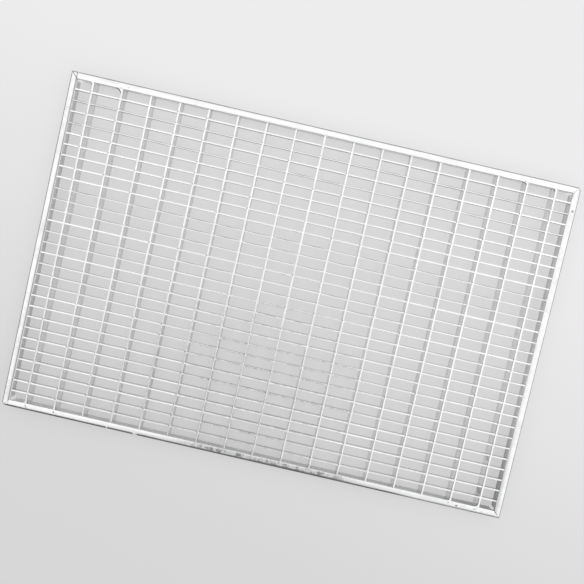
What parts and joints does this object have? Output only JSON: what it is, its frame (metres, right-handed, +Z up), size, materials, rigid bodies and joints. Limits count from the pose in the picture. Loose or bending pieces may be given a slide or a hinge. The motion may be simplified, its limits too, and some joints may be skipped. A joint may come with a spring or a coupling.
{
  "type": "steel grating panel",
  "caption": "Flat galvanised steel grating panel: deep bearing bars, shallow closely spaced cross bars and mitred T-section edge bars, to lie in a door-mat or light-well frame.",
  "frame": {"origin": "middle of the underside of the panel", "axes": "+X along the panel's length and its cross bars, +Y along its width and its bearing bars, +Z up out of the walking surface"},
  "size_m": [0.59, 0.39, 0.02],
  "materials": {
    "edge_zinc": "hot-dip galvanised rolled steel, pale, softly mottled",
    "bar_zinc": "hot-dip galvanised flat bar, satin",
    "weld_zinc": "galvanised weld metal, rough"
  },
  "bodies": {
    "root": {"edge_bar_front": "edge_zinc", "edge_bar_back": "edge_zinc", "edge_bar_left": "edge_zinc", "edge_bar_right": "edge_zinc", "corner_welds": "weld_zinc", "grating_left": "bar_zinc", "grating_middle": "bar_zinc", "grating_right": "bar_zinc"}
  },
  "joints": []
}
